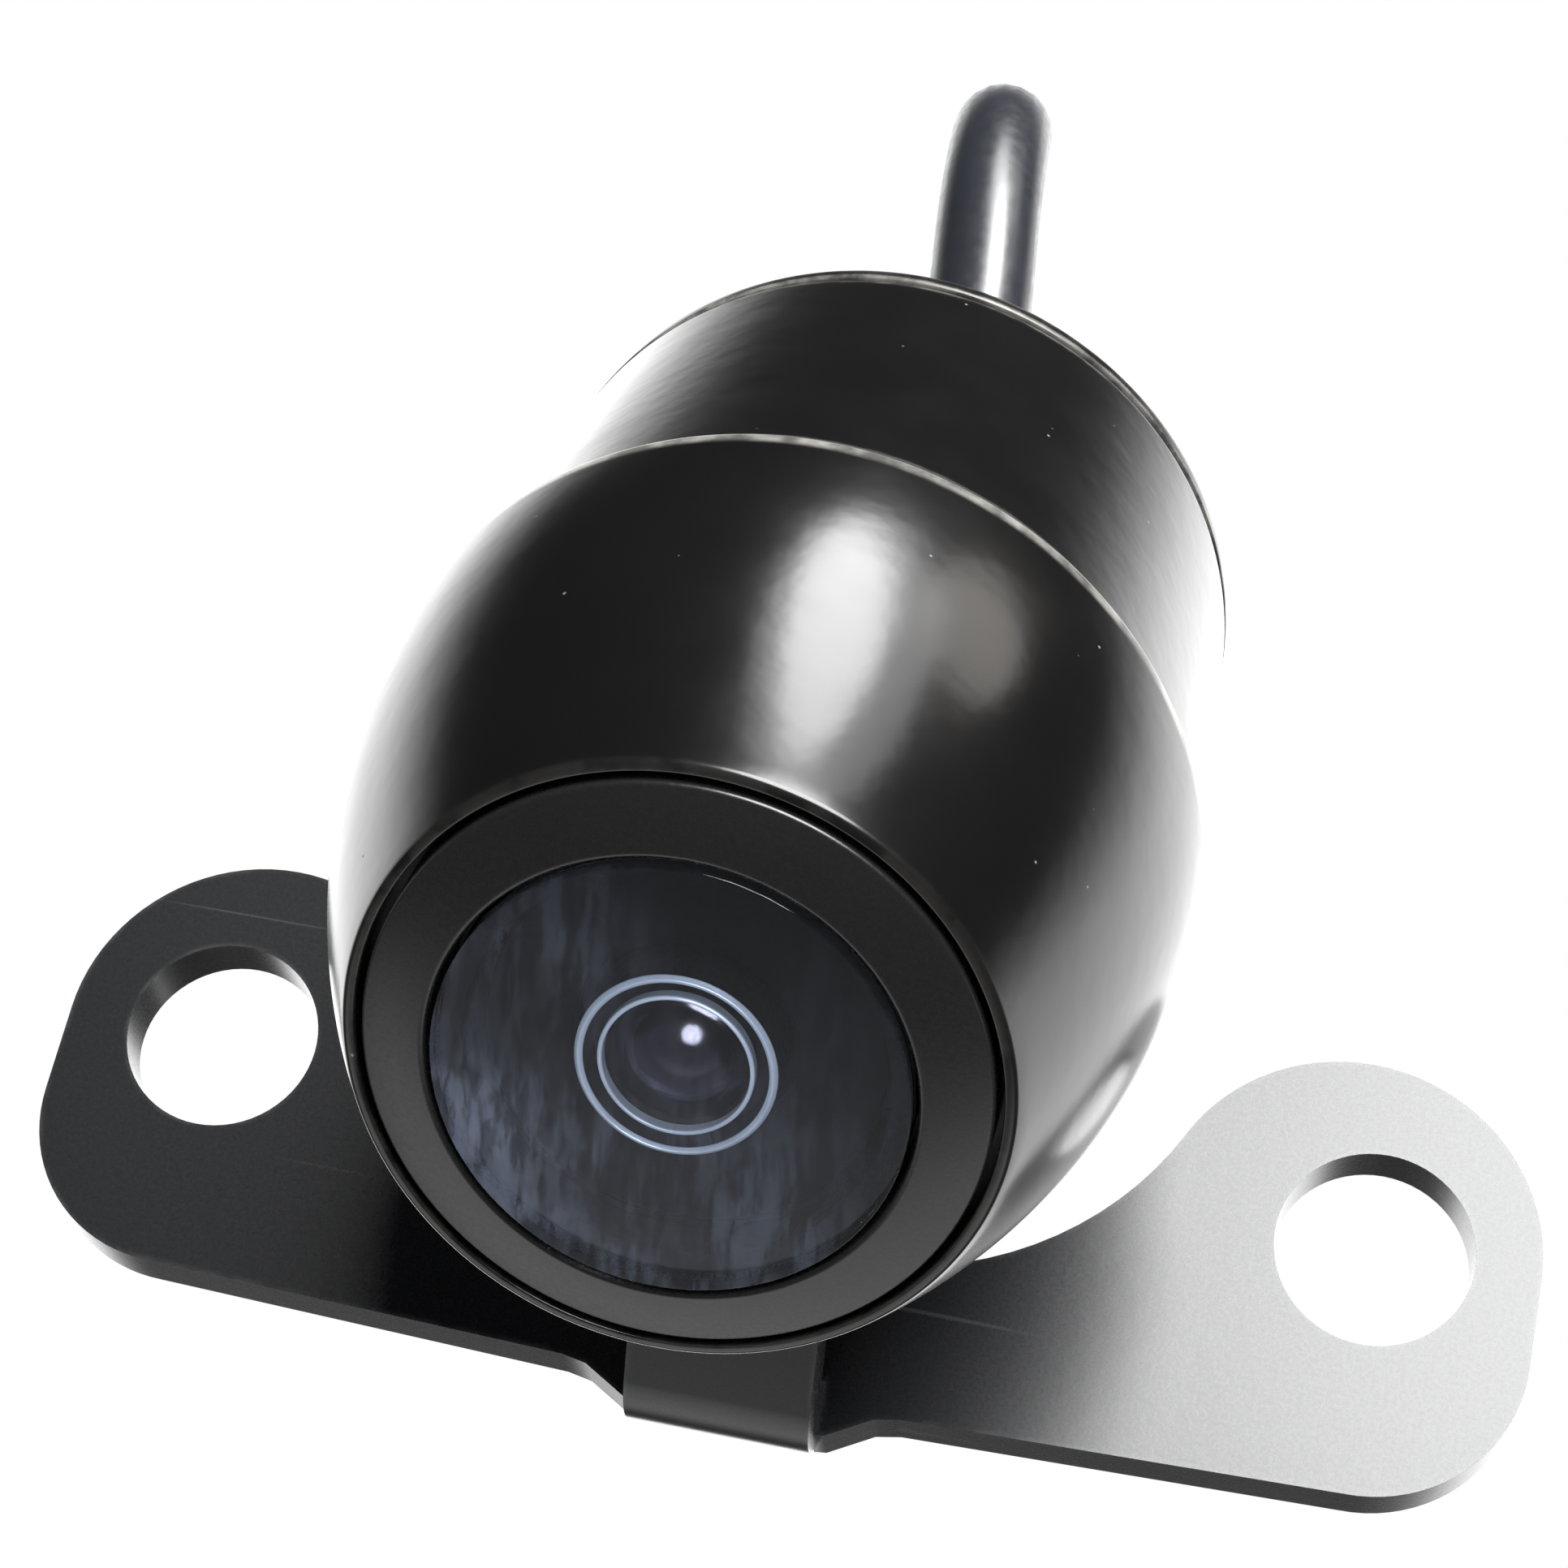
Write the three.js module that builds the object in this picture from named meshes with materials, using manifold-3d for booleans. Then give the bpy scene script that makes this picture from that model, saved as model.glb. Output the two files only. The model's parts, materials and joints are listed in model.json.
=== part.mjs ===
// Backup camera on a two-eared bracket, in millimetres.
// Origin: on the back plane of the bracket's ears, midway between their holes.
// +X runs along the ears, -Y points away from the vehicle, +Z is up.
import * as THREE from "three";
import { mergeVertices } from "three/addons/utils/BufferGeometryUtils.js";
import Module from "manifold-3d";

const wasm = await Module();
wasm.setup();

// ---------- driving dimensions ----------
const GAP = 0.3; // left between pieces that touch
const TILT = THREE.MathUtils.degToRad(53); // lens axis below the bracket's normal
const SEAM_CENTRE = new THREE.Vector3(0, -19, 3); // centre of the seam between the shells
const BALL_RADIUS = 12.05; // front shell at the seam
const BALL_BACK = -0.3; // its rear face; such heights run along the lens axis from the seam
const BALL_CURVE = 31; // radius of the front shell's long curve
const LIP_RADIUS = 8.8; // front shell at its open end
const LIP_FRONT = 12.85;
const LEDGE = 11.2; // floor that the bezel and the window sit on
const BEZEL_RADIUS = 8.2;
const WINDOW_RADIUS = 6.2;
const WINDOW_FRONT = 13.55;
const WINDOW_THICKNESS = 0.5;
const LENS_RADIUS = 2.65; // lens barrel just behind the window
const BARREL_RADIUS = 11.4; // rear barrel just behind the seam
const BARREL_END_RADIUS = 11.15;
const BARREL_END = -15.2;
const BARREL_BORE = 9.6;
const CAP_BACK = -16.4;
const GLAND_END = -22.4;
const BOARD_RADIUS = 9.2;
const BOARD = 1; // thickness of a circuit board
const SENSOR_BOARD = -0.3; // front face of the sensor board
const MAIN_BOARD = -5.2; // front face of the board behind it
const SHEET = 2; // bracket sheet
const HOLE_X = 18.9; // bracket hole from the middle
const HOLE_RADIUS = 3.15;
const EAR_BOTTOM = -8.3;
const TONGUE_HALF = 2.9; // half the width of the tongue that carries the camera
const TONGUE_TOP = 13; // tongue's upper face, below the lens axis
const BEND_RADIUS = 0.8; // inside radius of both bends
const BEND_HEIGHT = -7.2; // where the sheet starts to bend forwards
const PIVOT_BACK = 5.6; // pivot screw behind the seam
const CABLE_RADIUS = 1.9;
const COIL_RADIUS = 19; // to the middle of the cable
const COIL_PITCH = 3.9; // from one turn to the next beside it
const COIL_ENTRY = THREE.MathUtils.degToRad(60); // where the cable comes in, anticlockwise from +Y
const COIL_WOUND = THREE.MathUtils.degToRad(1020); // how far it winds round, clockwise
const COIL_HALF = (COIL_PITCH * COIL_WOUND) / (4 * Math.PI); // to the middle of the outer turns
const COIL_CENTRE = new THREE.Vector3(-1.4 - COIL_HALF, 28, 21.8);
const TAIL_RADIUS = 8.5; // bend that takes the cable's end into the middle of the coil

// ---------- colours ----------
const material = (color, roughness, metalness = 0) =>
  new THREE.MeshStandardMaterial({ color, roughness, metalness });
const paint = material(0x101114, 0.32, 0.2);
const powder = material(0x17181b, 0.6, 0.2);
const bezelGrey = material(0x3c3d40, 0.65);
const darkGlass = material(0x0b0d18, 0.08);
const lensGlass = material(0x2a3350, 0.05);
const lensMetal = material(0x9fb4c8, 0.35, 0.6);
const blackPlastic = material(0x121214, 0.6);
const rubber = material(0x0c0c0d, 0.85);
const steel = material(0xa9adb2, 0.3, 0.95);
const brass = material(0xb08d46, 0.35, 0.9);
const boardGreen = material(0x0f4a2c, 0.5);
const chipBlack = material(0x1a1a1c, 0.5);
const socketWhite = material(0xd9d6c8, 0.5);
const jacket = material(0x0d0e10, 0.45);
const filterGlass = material(0x7fb0b8, 0.05);

const root = new THREE.Group();
root.name = "backup_camera";

// The camera's own frame: +Z out of the lens, -Y towards the bracket's tongue.
const camera = new THREE.Group();
const across = new THREE.Vector3(1, 0, 0);
const lensAxis = new THREE.Vector3(0, -Math.cos(TILT), -Math.sin(TILT));
const crown = new THREE.Vector3().crossVectors(lensAxis, across);
const cameraFrame = new THREE.Matrix4().makeBasis(across, crown, lensAxis);
cameraFrame.setPosition(SEAM_CENTRE);
camera.applyMatrix4(cameraFrame);
root.add(camera);

// The coil's own frame: +Z along its axis, towards the row's +X, and +Y up.
const coil = new THREE.Group();
const coilFrame = new THREE.Matrix4().makeBasis(
  new THREE.Vector3(0, 1, 0),
  new THREE.Vector3(0, 0, 1),
  across,
);
coilFrame.setPosition(COIL_CENTRE);
coil.applyMatrix4(coilFrame);
root.add(coil);

// ---------- helpers ----------
function add(parent, name, geometry, finish) {
  const mesh = new THREE.Mesh(geometry, finish);
  mesh.name = name;
  parent.add(mesh);
}

function solid(geometry) {
  const bare = geometry.index ? geometry.toNonIndexed() : geometry.clone();
  bare.deleteAttribute("normal");
  bare.deleteAttribute("uv");
  const merged = mergeVertices(bare, 1e-4);
  return new wasm.Manifold(
    new wasm.Mesh({
      numProp: 3,
      vertProperties: merged.attributes.position.array,
      triVerts: new Uint32Array(merged.index.array),
    }),
  );
}

function geometryOf(manifold) {
  const mesh = manifold.getMesh();
  const geometry = new THREE.BufferGeometry();
  geometry.setAttribute("position", new THREE.BufferAttribute(mesh.vertProperties, 3));
  geometry.setIndex(new THREE.BufferAttribute(mesh.triVerts, 1));
  geometry.computeVertexNormals();
  return geometry;
}

// A solid with every one of the cutters taken out of it.
function cut(geometry, cutters) {
  const left = cutters.reduce((whole, cutter) => whole.subtract(solid(cutter)), solid(geometry));
  return geometryOf(left);
}

// Turns a profile of [radius, height] points, listed anticlockwise, about +Z.
function revolve(profile, segments = 32) {
  const points = profile.map(([radius, height]) => new THREE.Vector2(radius, height));
  return new THREE.LatheGeometry(points, segments).rotateX(Math.PI / 2);
}

// A tube about +Z between two radii and two heights.
function ring(inner, outer, low, high, segments = 32) {
  const profile = [
    [inner, low],
    [outer, low],
    [outer, high],
    [inner, high],
    [inner, low],
  ];
  return revolve(profile, segments);
}

// A solid cylinder about +Z between two heights.
function pin(radius, low, high, segments = 24) {
  const profile = [
    [0, low],
    [radius, low],
    [radius, high],
    [0, high],
  ];
  return revolve(profile, segments);
}

// A box from its size, the middle of its plan and its low face.
function block(width, depth, height, x, y, low) {
  return new THREE.BoxGeometry(width, depth, height).translate(x, y, low + height / 2);
}

// Profile points on the arc of this radius that bulges outwards from one point to the other.
function bulge([r0, z0], [r1, z1], radius, steps) {
  const start = new THREE.Vector2(r0, z0);
  const end = new THREE.Vector2(r1, z1);
  const chord = end.clone().sub(start);
  const inward = new THREE.Vector2(-chord.y, chord.x).normalize();
  const rise = Math.sqrt(radius ** 2 - chord.lengthSq() / 4);
  const centre = start.clone().lerp(end, 0.5).addScaledVector(inward, rise);
  const from = Math.atan2(start.y - centre.y, start.x - centre.x);
  const to = Math.atan2(end.y - centre.y, end.x - centre.x);
  return Array.from({ length: steps + 1 }, (_, i) => {
    const angle = from + ((to - from) * i) / steps;
    return [centre.x + radius * Math.cos(angle), centre.y + radius * Math.sin(angle)];
  });
}

// A tube of this radius along a smooth curve through the points.
function tube(points, radius, steps) {
  const sides = 8;
  const path = new THREE.CatmullRomCurve3(points, false, "centripetal");
  const section = Array.from({ length: sides }, (_, i) => {
    const angle = (2 * Math.PI * i) / sides;
    return new THREE.Vector2(radius * Math.cos(angle), radius * Math.sin(angle));
  });
  const settings = { steps, extrudePath: path, bevelEnabled: false };
  return new THREE.ExtrudeGeometry(new THREE.Shape(section), settings);
}

// Stands a piece made about +Z on the pivot line, its heights counted along the camera's +Y.
function atPivot(geometry) {
  return geometry.rotateX(-Math.PI / 2).translate(0, 0, -PIVOT_BACK);
}

// ---------- shells ----------
function addShells() {
  const socket = BARREL_BORE + 0.8 + GAP;
  const frontShell = [
    [socket, BALL_BACK],
    [BALL_RADIUS - 0.2, BALL_BACK],
    ...bulge([BALL_RADIUS, BALL_BACK + 0.2], [LIP_RADIUS, LIP_FRONT - 0.25], BALL_CURVE, 9),
    [LIP_RADIUS - 0.15, LIP_FRONT],
    [BEZEL_RADIUS + GAP, LIP_FRONT],
    [BEZEL_RADIUS + GAP, LEDGE],
    [5.6, LEDGE],
    [5.6, 9.8],
    [8.4, 9.2],
    [9.6, 3],
    [socket, 3],
    [socket, BALL_BACK],
  ];
  add(camera, "front_shell", revolve(frontShell, 48), paint);
  add(camera, "shell_seal", ring(socket + 0.1, 11.7, BALL_BACK - 0.9, BALL_BACK - GAP, 48), rubber);

  const barrelFront = BALL_BACK - 0.9 - GAP;
  const barrel = [
    [BARREL_BORE, BARREL_END],
    [BARREL_END_RADIUS, BARREL_END],
    [BARREL_RADIUS, barrelFront],
    [BARREL_BORE + 0.8, barrelFront],
    [BARREL_BORE + 0.8, 2.7],
    [BARREL_BORE, 2.7],
    [BARREL_BORE, BARREL_END],
  ];
  const boss = atPivot(pin(3.4, GAP - TONGUE_TOP, -BARREL_BORE - 0.3, 32));
  const thread = atPivot(pin(1.5, -TONGUE_TOP, -BARREL_BORE - 0.7));
  const barrelWithBoss = solid(revolve(barrel, 48)).add(solid(boss));
  add(camera, "rear_barrel", geometryOf(barrelWithBoss.subtract(solid(thread))), paint);

  const capFront = BARREL_END - GAP;
  const hub = CAP_BACK - 0.5; // rear face of the cap's thicker middle
  const spigot = BARREL_BORE - GAP;
  const cap = [
    [2.6, hub],
    [6, hub],
    [6.6, CAP_BACK],
    [10.8, CAP_BACK],
    [BARREL_END_RADIUS, CAP_BACK + 0.35],
    [BARREL_END_RADIUS, capFront],
    [spigot, capFront],
    [spigot, capFront + 1.6],
    [spigot - 1, capFront + 1.6],
    [spigot - 1, capFront],
    [2.6, capFront],
    [2.6, hub],
  ];
  add(camera, "rear_cap", revolve(cap, 48), paint);

  const gland = [
    [0, GLAND_END],
    [2.3, GLAND_END],
    [2.6, GLAND_END + 0.3],
    [3.5, hub - GAP],
    [2.3, hub - GAP],
    [2.3, capFront + GAP],
    [3.6, capFront + GAP],
    [3.6, capFront + 1.1],
    [0, capFront + 1.1],
  ];
  add(camera, "cable_gland", revolve(gland), rubber);
}

// ---------- window and lens ----------
function addOptics() {
  const windowSocket = WINDOW_RADIUS + GAP;
  const bezel = [
    [windowSocket, LEDGE + GAP],
    [BEZEL_RADIUS, LEDGE + GAP],
    [BEZEL_RADIUS, LIP_FRONT - 0.1],
    [BEZEL_RADIUS - 0.15, LIP_FRONT + 0.05],
    [windowSocket + 0.1, WINDOW_FRONT - 0.1],
    [windowSocket, WINDOW_FRONT - 0.2],
    [windowSocket, LEDGE + GAP],
  ];
  add(camera, "front_bezel", revolve(bezel, 48), bezelGrey);

  const windowBack = WINDOW_FRONT - WINDOW_THICKNESS;
  const glass = [
    [0, windowBack],
    [WINDOW_RADIUS, windowBack],
    [WINDOW_RADIUS, WINDOW_FRONT - 0.2],
    [WINDOW_RADIUS - 0.2, WINDOW_FRONT],
    [0, WINDOW_FRONT],
  ];
  add(camera, "window_glass", revolve(glass, 48), darkGlass);
  const gasket = ring(5.6, WINDOW_RADIUS, LEDGE + GAP, windowBack - GAP);
  add(camera, "window_gasket", gasket, rubber);
  const shield = ring(LENS_RADIUS + GAP, 5.3, LEDGE - 0.3, LEDGE + 0.4);
  add(camera, "light_shield", shield, blackPlastic);

  const lensFront = windowBack - GAP;
  const seat = lensFront - 1.2; // where the front element rests
  const lensBarrel = [
    [1.6, 3.2],
    [3.6, 3.2],
    [3.6, 8.6],
    [LENS_RADIUS, 8.6],
    [LENS_RADIUS, lensFront],
    [LENS_RADIUS - 0.3, lensFront],
    [LENS_RADIUS - 0.3, seat],
    [1.6, seat],
    [1.6, 3.2],
  ];
  add(camera, "lens_barrel", revolve(lensBarrel), lensMetal);
  const rim = ring(1.75, LENS_RADIUS - 0.6, lensFront - 0.4, lensFront - 0.05);
  add(camera, "lens_retaining_ring", rim, lensMetal);
  const frontElement = [
    [0, seat + 0.2],
    [1.9, seat + 0.2],
    [1.9, lensFront - 0.7],
    ...bulge([1.5, lensFront - 0.6], [0, lensFront - 0.1], 2.5, 4),
  ];
  add(camera, "lens_front_element", revolve(frontElement), lensGlass);
  const innerElements = { lens_second_element: 9.3, lens_third_element: 7, lens_rear_element: 4 };
  for (const [name, back] of Object.entries(innerElements)) {
    const profile = [[0, back], [1.3, back], ...bulge([1.3, back + 0.3], [0, back + 0.8], 1.95, 3)];
    add(camera, name, revolve(profile, 24), lensGlass);
  }
  add(camera, "lens_spacer_ring", ring(0.9, 1.3, 8.1, 9), blackPlastic);
  add(camera, "lens_lock_ring", ring(3.9, 5, 7.9, 8.5), blackPlastic);
}

// ---------- boards ----------
function addElectronics() {
  const holderLow = SENSOR_BOARD + GAP;
  const holderBase = 2.8; // thickness of the holder's square foot
  const screwOffset = 5.3;
  const holder = solid(block(13, 13, holderBase, 0, 0, holderLow))
    .add(solid(pin(5, holderLow + 1, 7.6, 32)))
    .subtract(solid(pin(3.9, 1.8, 8, 32)))
    .subtract(solid(block(8, 8, 2.9, 0, 0, -1)));
  const screwHole = (side, low, high) =>
    pin(0.85, low, high, 16).translate(side * screwOffset, side * screwOffset, 0);
  const sides = [-1, 1];
  const holderHoles = sides.map((side) => screwHole(side, -1, 1.8));
  add(camera, "lens_holder", cut(geometryOf(holder), holderHoles), blackPlastic);
  add(camera, "ir_cut_filter", block(5, 5, 0.4, 0, 0, 2.3), filterGlass);
  add(camera, "image_sensor", block(7, 6, 0.9, 0, 0, holderLow), chipBlack);
  add(camera, "sensor_cover_glass", block(5.6, 4.8, 0.4, 0, 0, holderLow + 1.2), filterGlass);

  const sensorBack = SENSOR_BOARD - BOARD;
  const sensorBoard = pin(BOARD_RADIUS, sensorBack, SENSOR_BOARD, 40);
  const boardHoles = sides.map((side) => screwHole(side, sensorBack - 1, SENSOR_BOARD + 1));
  add(camera, "sensor_board", cut(sensorBoard, boardHoles), boardGreen);
  sides.forEach((side, i) => {
    const screw = [
      [0, sensorBack - 0.8],
      [1.2, sensorBack - 0.8],
      [1.2, sensorBack - 0.2],
      [0.55, sensorBack - 0.2],
      [0.55, 1.3],
      [0, 1.3],
    ];
    const placed = revolve(screw, 16).translate(side * screwOffset, side * screwOffset, 0);
    add(camera, `holder_screw_${i + 1}`, placed, steel);
  });

  const spacerLow = MAIN_BOARD + GAP;
  const spacerHigh = sensorBack - GAP;
  sides.forEach((side, i) => {
    const spacer = pin(1.1, spacerLow, spacerHigh, 6).translate(side * 7.4, 0, 0);
    add(camera, `board_spacer_${i + 1}`, spacer, brass);
  });
  const link = block(7, 2.2, spacerHigh - spacerLow, 0, 7, spacerLow);
  add(camera, "board_link_header", link, blackPlastic);

  const mainBack = MAIN_BOARD - BOARD;
  add(camera, "main_board", pin(BOARD_RADIUS, mainBack, MAIN_BOARD, 40), boardGreen);
  add(camera, "video_processor", block(6, 6, 1, 0, 0, spacerLow), chipBlack);
  add(camera, "power_inductor", block(3, 3, 1.8, -3, -6, spacerLow), chipBlack);
  add(camera, "filter_capacitor", pin(1.2, spacerLow, spacerHigh - 0.6, 16).translate(3, -6, 0), steel);

  const socketHigh = mainBack - GAP;
  const socketLow = socketHigh - 2.8;
  const well = block(6.2, 3.2, 3, 0, 0, socketLow - 1);
  add(camera, "wire_socket", cut(block(7, 4, 2.8, 0, 0, socketLow), [well]), socketWhite);
  add(camera, "wire_plug", block(5.6, 2.6, 2.4, 0, 0, socketLow - 0.7), socketWhite);

  const wireTop = socketLow - 0.7 - GAP;
  const jacketFront = -13;
  add(camera, "cable_inner_end", pin(CABLE_RADIUS, -14.1, jacketFront, 16), jacket);
  const wires = { power_wire: 0xa01818, ground_wire: 0x18181a, video_wire: 0xc9a21c, trigger_wire: 0xd8d8d4 };
  Object.entries(wires).forEach(([name, color], i) => {
    const spread = (i - 1.5) / 1.5;
    const points = [
      new THREE.Vector3(spread * 1.2, 0, jacketFront + GAP),
      new THREE.Vector3(spread * 1.3, 0.5, jacketFront + 0.9),
      new THREE.Vector3(spread * 2, 0.5, wireTop - 0.8),
      new THREE.Vector3(spread * 2.1, 0, wireTop),
    ];
    add(camera, name, tube(points, 0.35, 6), material(color, 0.5));
  });
}

// ---------- bracket ----------
// The flat part seen from the front, right half first: one ear, then its mirror image.
function plateOutline() {
  const ear = new THREE.Vector2(18, 0); // middle of the ear's upper round
  const earRadius = 6.1;
  const heelRadius = 5;
  const heel = new THREE.Vector2(19.1, EAR_BOTTOM + 0.4 + heelRadius); // middle of its lower round
  const waistRadius = 11; // hollow between the ear and the middle
  const waist = new THREE.Vector2(0, 7.4);
  waist.x = ear.x - Math.sqrt((earRadius + waistRadius) ** 2 - (ear.y - waist.y) ** 2);

  const arc = (centre, radius, from, to, steps) =>
    Array.from({ length: steps + 1 }, (_, i) => {
      const angle = from + ((to - from) * i) / steps;
      return new THREE.Vector2(
        centre.x + radius * Math.cos(angle),
        centre.y + radius * Math.sin(angle),
      );
    });
  const between = heel.clone().sub(ear);
  const side = between.angle() - 2 * Math.PI + Math.acos((earRadius - heelRadius) / between.length());
  const hollow = Math.atan2(ear.y - waist.y, ear.x - waist.x);
  const half = [
    new THREE.Vector2(TONGUE_HALF - 0.1, BEND_HEIGHT),
    new THREE.Vector2(TONGUE_HALF - 0.1, EAR_BOTTOM - 1),
    new THREE.Vector2(TONGUE_HALF + 0.3, EAR_BOTTOM - 0.95),
    new THREE.Vector2(TONGUE_HALF + 1, EAR_BOTTOM - 0.55),
    new THREE.Vector2(TONGUE_HALF + 1.7, EAR_BOTTOM - 0.15),
    new THREE.Vector2(TONGUE_HALF + 2.5, EAR_BOTTOM),
    ...arc(heel, heelRadius, -Math.PI / 2, side, 20),
    ...arc(ear, earRadius, side, Math.PI + hollow, 36),
    ...arc(waist, waistRadius, hollow, -Math.PI / 2, 16).slice(1),
  ];
  const mirrored = half.map((point) => new THREE.Vector2(-point.x, point.y)).reverse();
  return new THREE.Shape([...half, ...mirrored]);
}

// The side view of the tongue: down from the plate, forwards and up, then back under the barrel.
function tongueOutline(bendCentre, riser) {
  const lead = 2.2; // of the tongue that lies inside the plate, above the first bend
  const turns = [
    { run: lead, angle: Math.PI - TILT },
    { run: riser, angle: Math.PI / 2 },
    { run: PIVOT_BACK + bendCentre.z, angle: 0 },
  ];
  const inner = [];
  const outer = [];
  const place = new THREE.Vector2(-SHEET / 2, BEND_HEIGHT + turns[0].run);
  let heading = -Math.PI / 2;
  const mark = () => {
    const right = new THREE.Vector2(Math.sin(heading), -Math.cos(heading));
    inner.push(place.clone().addScaledVector(right, SHEET / 2));
    outer.push(place.clone().addScaledVector(right, -SHEET / 2));
    return right;
  };
  mark();
  for (const { run, angle } of turns) {
    place.add(new THREE.Vector2(Math.cos(heading), Math.sin(heading)).multiplyScalar(run));
    const middle = place.clone().addScaledVector(mark(), BEND_RADIUS + SHEET / 2);
    const steps = Math.ceil(angle / 0.12);
    for (let i = 0; i < steps; i++) {
      heading -= angle / steps;
      place.rotateAround(middle, -angle / steps);
      mark();
    }
  }
  return new THREE.Shape([...outer, ...inner.reverse()]);
}

function addBracket() {
  const settings = { depth: SHEET, bevelEnabled: false };
  const plate = new THREE.ExtrudeGeometry(plateOutline(), settings).rotateX(Math.PI / 2);

  const bendCentre = new THREE.Vector3(0, -SHEET - BEND_RADIUS, BEND_HEIGHT);
  bendCentre.applyMatrix4(cameraFrame.clone().invert());
  const riser = -bendCentre.y - (TONGUE_TOP + SHEET + BEND_RADIUS);
  const side = new THREE.ExtrudeGeometry(tongueOutline(bendCentre, riser), {
    depth: 2 * TONGUE_HALF,
    bevelEnabled: false,
  });
  const sideToRow = new THREE.Matrix4().makeBasis(
    new THREE.Vector3(0, 1, 0),
    new THREE.Vector3(0, 0, 1),
    across,
  );
  side.translate(0, 0, -TONGUE_HALF).applyMatrix4(sideToRow);

  const pad = atPivot(pin(TONGUE_HALF, -TONGUE_TOP - SHEET, -TONGUE_TOP, 32));
  const padInRow = pad.applyMatrix4(cameraFrame);
  const screwHole = atPivot(pin(1.6, -TONGUE_TOP - SHEET - 1, 1 - TONGUE_TOP));
  const earHoles = [-HOLE_X, HOLE_X].map((x) =>
    pin(HOLE_RADIUS, -1, SHEET + 1, 64).rotateX(Math.PI / 2).translate(x, 0, 0),
  );
  const scallop = pin(3.4, -1, SHEET + 1, 48).rotateX(Math.PI / 2).translate(0, 0, -1.9);
  const whole = solid(plate).subtract(solid(scallop)).add(solid(side)).add(solid(padInRow));
  const cutters = [screwHole.applyMatrix4(cameraFrame), ...earHoles];
  add(root, "bracket", cut(geometryOf(whole), cutters), powder);
}

// ---------- pivot screw and washers ----------
function addPivot() {
  const under = -TONGUE_TOP - SHEET;
  const flatLow = under - 0.7;
  const springLow = flatLow - 0.8;
  const headTop = springLow - 0.2;
  const washer = atPivot(ring(1.6, 2.6, flatLow, flatLow + 0.5));
  add(camera, "flat_washer", washer, steel);
  const split = block(0.5, 2, 1, 0, 2, springLow - 0.2);
  add(camera, "spring_washer", atPivot(cut(ring(1.6, 2.4, springLow, springLow + 0.6), [split])), steel);
  const shank = pin(1.25, headTop - 0.5, -BARREL_BORE - 1.3);
  const head = pin(2.3, headTop - 1.2, headTop, 6);
  add(camera, "pivot_screw", atPivot(geometryOf(solid(head).add(solid(shank)))), steel);
}

// ---------- cable, coil and connector ----------
function addCable() {
  const exit = new THREE.Vector3(0, 0, GLAND_END - GAP).applyMatrix4(cameraFrame);
  const route = [
    [0.05, -3.8, 23.2],
    [0.05, -2.3, 25.3],
    [0.05, -1.1, 27.6],
    [0.05, -0.4, 30],
    [-0.05, -0.1, 32.6],
    [-0.35, 0.1, 35.3],
    [-0.7, 0.6, 38.4],
    [-1, 2.2, 41.9],
    [-1.35, 5, 44.6],
    [-1.75, 8.6, 46.1],
    [-2.1, 12.8, 46.5],
    [-2.25, 17.5, 46],
    [-2.3, 22.5, 44.7],
    [-2.2, 27.5, 42.9],
    [-1.8, 32.5, 40.7],
    [-1.4, 37.5, 38.25],
  ].map((point) => new THREE.Vector3(...point));
  const outer = COIL_RADIUS + CABLE_RADIUS;
  const inner = COIL_RADIUS - CABLE_RADIUS;
  const half = COIL_HALF + CABLE_RADIUS;
  const clear = pin(outer + GAP, -half - GAP, half + GAP, 48).applyMatrix4(coilFrame);
  add(root, "cable", cut(tube([exit, ...route], CABLE_RADIUS, 24), [clear]), jacket);

  const turns = [
    [inner, 1 - half],
    [inner + 1, -half],
    [outer - 1, -half],
    [outer, 1 - half],
    [outer, half - 1],
    [outer - 1, half],
    [inner + 1, half],
    [inner, half - 1],
    [inner, 1 - half],
  ];
  add(coil, "cable_coil", revolve(turns, 48), jacket);

  // The end leaves the last turn at the upper front and bends round to hang straight down.
  const leave = COIL_ENTRY - COIL_WOUND;
  const bend = THREE.MathUtils.euclideanModulo(leave, 2 * Math.PI);
  const bendReach = COIL_RADIUS - TAIL_RADIUS;
  const bendSteps = 6;
  const tail = Array.from({ length: bendSteps + 1 }, (_, i) => {
    const angle = bend * (1 - i / bendSteps);
    return new THREE.Vector3(
      bendReach * Math.cos(leave) + TAIL_RADIUS * Math.cos(angle),
      bendReach * Math.sin(leave) + TAIL_RADIUS * Math.sin(angle),
      Math.max(0, i - bendSteps / 2) - COIL_HALF,
    );
  });
  const bendEnd = tail[bendSteps];
  const connectorTop = bendEnd.y - 2.4;
  tail.push(new THREE.Vector3(bendEnd.x, connectorTop + GAP, bendEnd.z));
  const turnsClear = ring(inner - GAP, outer + 1, -half - GAP, half + GAP, 48);
  add(coil, "cable_tail", cut(tube(tail, CABLE_RADIUS, 12), [turnsClear]), jacket);
  addTies(inner, outer, half);
  addConnector(bendEnd.x, connectorTop, bendEnd.z);
}

// Two ties hold the turns together: each is a flat loop round them with a small head.
function addTies(inner, outer, half) {
  const thickness = 0.8;
  const width = 3;
  const wrap = (room, depth) => {
    const reach = outer - inner + 2 * room;
    return block(reach, depth, 2 * (half + room), COIL_RADIUS, 0, -half - room);
  };
  const opening = wrap(GAP, 2 * width);
  const head = block(1.6, width + 1, 4, outer + GAP + thickness + 0.4, 0, -2);
  const loop = solid(wrap(GAP + thickness, width)).add(solid(head)).subtract(solid(opening));
  [-110, 20].forEach((angle, i) => {
    const placed = geometryOf(loop).rotateZ(THREE.MathUtils.degToRad(angle));
    add(coil, `coil_tie_${i + 1}`, placed, blackPlastic);
  });
}

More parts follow.
